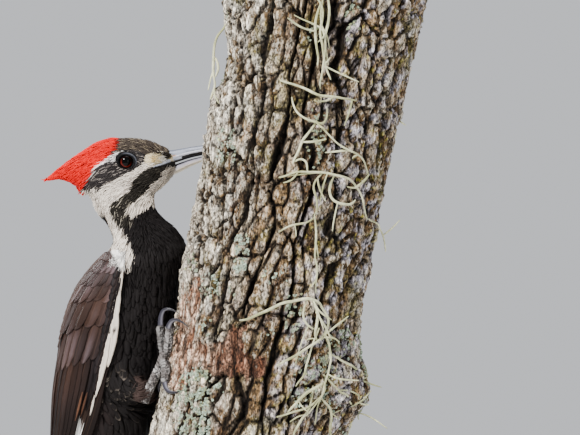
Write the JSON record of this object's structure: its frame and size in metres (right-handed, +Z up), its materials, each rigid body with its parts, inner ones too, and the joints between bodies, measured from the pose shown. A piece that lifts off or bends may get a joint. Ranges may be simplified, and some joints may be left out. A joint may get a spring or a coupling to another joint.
{
  "type": "pileated woodpecker",
  "caption": "Life-size female pileated woodpecker clinging to a cut length of tree trunk, red crest raised and bill to the bark, on a round display base.",
  "frame": {"origin": "middle of the display base's underside", "axes": "+Z up; +X the way the bill points and the trunk leans; -Y the way the bird's right side faces"},
  "size_m": [0.2584, 0.23, 0.5423],
  "materials": {
    "plumage_black": "soft overlapping feathers, sooty black with a faint sheen, white bands on the face and neck",
    "plumage_brown": "stiff wing feathers, worn brown-black, satin",
    "plumage_red": "long hair-like crest feathers, scarlet with paler orange roots",
    "bill_horn": "blue-grey horn, satin, paler along the ridge",
    "bill_ivory": "ivory horn, satin",
    "eye": "wet, dark red-brown iris round a black pupil",
    "leg_scales": "pale grey horny plates with dark gaps between them",
    "claw": "dark blue-grey horn, polished",
    "bark": "rough ridged oak bark, grey-brown with lichen, moss strands and a flaked orange-brown patch",
    "stand_wood": "dark stained hardwood, satin varnish",
    "stand_steel": "brushed steel"
  },
  "bodies": {
    "root": {"head": "plumage_black", "crest": "plumage_red", "bill_upper": "bill_horn", "bill_lower": "bill_ivory", "eye_right": "eye", "eye_left": "eye", "neck": "plumage_black", "torso": "plumage_black", "wing_right": "plumage_brown", "wing_left": "plumage_brown", "tail": "plumage_black", "thigh_right": "plumage_black", "thigh_left": "plumage_black", "shank_right": "leg_scales", "shank_left": "leg_scales", "foot_right": "leg_scales", "foot_left": "leg_scales", "toe_inner_front_right": "leg_scales", "toe_outer_front_right": "leg_scales", "toe_outer_back_right": "leg_scales", "toe_hind_right": "leg_scales", "toe_inner_front_left": "leg_scales", "toe_outer_front_left": "leg_scales", "toe_outer_back_left": "leg_scales", "toe_hind_left": "leg_scales", "claw_inner_front_right": "claw", "claw_outer_front_right": "claw", "claw_outer_back_right": "claw", "claw_hind_right": "claw", "claw_inner_front_left": "claw", "claw_outer_front_left": "claw", "claw_outer_back_left": "claw", "claw_hind_left": "claw", "perch_trunk": "bark", "stand_base": "stand_wood", "stand_rod_right": "stand_steel", "stand_rod_left": "stand_steel"}
  },
  "joints": []
}
